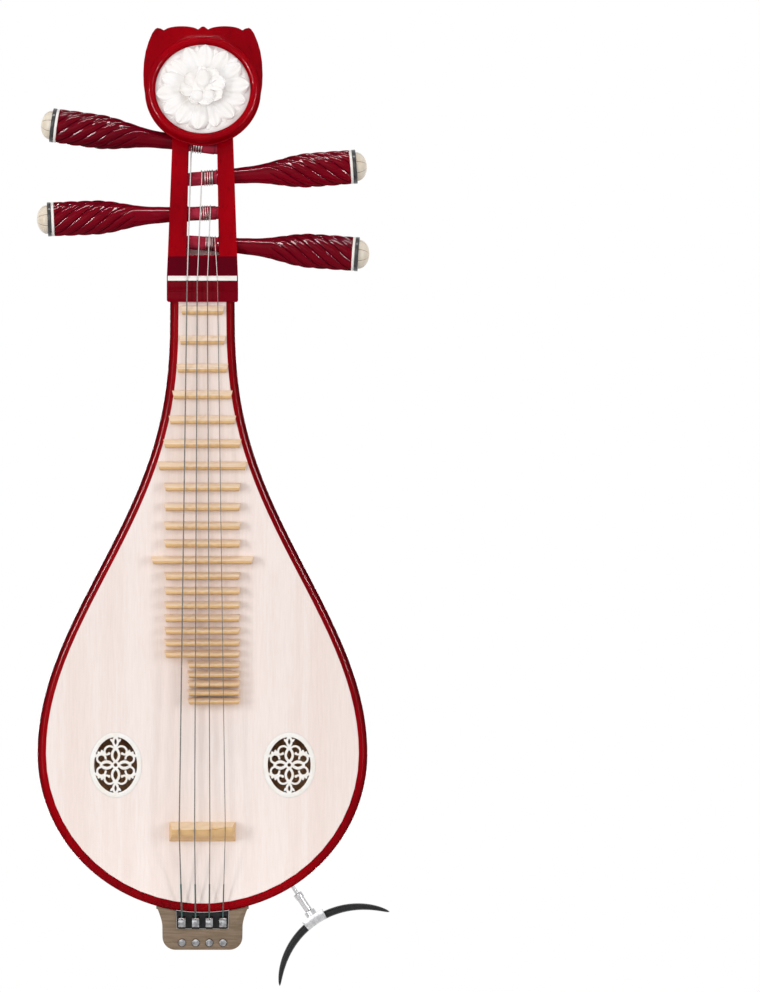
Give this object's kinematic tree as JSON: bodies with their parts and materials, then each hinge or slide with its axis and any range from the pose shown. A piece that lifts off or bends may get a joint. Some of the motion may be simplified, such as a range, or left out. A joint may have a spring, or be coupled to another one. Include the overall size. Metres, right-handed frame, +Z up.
{
  "type": "pipa lute",
  "caption": "Small pear-shaped lute with a round back, a pale soundboard with bamboo frets, tuning pegs in a leaning pegbox, a carved flower head and a curved leg rest.",
  "frame": {"origin": "middle of the bottom edge of the tail plate, in the middle of the plate's thickness", "axes": "Z up the length from tail to head, X to the right seen from the front, the soundboard faces -Y"},
  "size_m": [0.2494, 0.1025, 0.6765],
  "materials": {
    "lacquered_wood": "clear red gloss lacquer over dark grained wood",
    "tung_board": "pale soft wood with a fine straight grain, thin satin finish",
    "raw_wood": "plain unfinished wood inside the body",
    "bamboo": "pale bamboo, satin, grain along the length",
    "bone": "white to ivory bone-like material, polished",
    "black_plastic": "polished black",
    "string_steel": "plain and wound steel wire",
    "satin_metal": "champagne satin metal",
    "bright_metal": "bright plated metal",
    "cream_plastic": "cream",
    "black_rubber": "black satin padding"
  },
  "bodies": {
    "instrument": {"back_shell": "lacquered_wood", "soundboard": "tung_board", "bars": "raw_wood", "sound_post": "raw_wood", "tail_block": "raw_wood", "rosette_left": "bone", "rosette_right": "bone", "pegbox": "lacquered_wood", "head_scroll": "lacquered_wood", "head_flower": "bone", "nut": "bone", "back_plate": "bone", "bridge": "bamboo", "tail_plate": "satin_metal", "tail_hooks": "bright_metal", "tail_screws": "bright_metal", "tail_pad": "black_rubber", "leg_socket": "cream_plastic", "leg_rod": "bright_metal", "string_1": "string_steel", "string_2": "string_steel", "string_3": "string_steel", "string_4": "string_steel", "fret_1": "bamboo", "fret_2": "bamboo", "fret_3": "bamboo", "fret_4": "bamboo", "fret_5": "bamboo", "fret_6": "bamboo", "fret_7": "bamboo", "fret_8": "bamboo", "fret_9": "bamboo", "fret_10": "bamboo", "fret_11": "bamboo", "fret_12": "bamboo", "fret_13": "bamboo", "fret_14": "bamboo", "fret_15": "bamboo", "fret_16": "bamboo", "fret_17": "bamboo", "frets_upper": "bamboo"},
    "peg_1_body": {"peg_1": "lacquered_wood", "peg_ring_1": "black_plastic", "peg_cap_1": "bone", "winding_1": "string_steel"},
    "peg_2_body": {"peg_2": "lacquered_wood", "peg_ring_2": "black_plastic", "peg_cap_2": "bone", "winding_2": "string_steel"},
    "peg_3_body": {"peg_3": "lacquered_wood", "peg_ring_3": "black_plastic", "peg_cap_3": "bone", "winding_3": "string_steel"},
    "peg_4_body": {"peg_4": "lacquered_wood", "peg_ring_4": "black_plastic", "peg_cap_4": "bone", "winding_4": "string_steel"},
    "leg_sleeve_body": {"leg_sleeve": "bright_metal"},
    "leg_rest_body": {"leg_saddle": "bright_metal", "leg_pad": "black_rubber"}
  },
  "joints": [
    {"name": "peg_1_turn", "type": "hinge", "parent": "instrument", "child": "peg_1_body", "pos_m": [0, 0.01308, 0.49681], "axis": [0.9972, -0.0256, -0.0705], "continuous": true},
    {"name": "peg_2_turn", "type": "hinge", "parent": "instrument", "child": "peg_2_body", "pos_m": [0, 0.02077, 0.51796], "axis": [-0.9991, -0.0143, -0.0394], "continuous": true},
    {"name": "peg_3_turn", "type": "hinge", "parent": "instrument", "child": "peg_3_body", "pos_m": [0, 0.02977, 0.54267], "axis": [0.9966, 0.028, 0.077], "continuous": true},
    {"name": "peg_4_turn", "type": "hinge", "parent": "instrument", "child": "peg_4_body", "pos_m": [0, 0.03811, 0.5656], "axis": [-0.9893, 0.05, 0.1373], "continuous": true},
    {"name": "leg_rest_reach", "type": "slide", "parent": "instrument", "child": "leg_sleeve_body", "axis": [0.5592, 0, -0.829], "range_m": [-0.0055, 0.007]},
    {"name": "leg_rest_swivel", "type": "hinge", "parent": "leg_sleeve_body", "child": "leg_rest_body", "pos_m": [0.07482, 0.017, 0.02707], "axis": [0.5592, 0, -0.829], "range_deg": [-90, 90]}
  ]
}
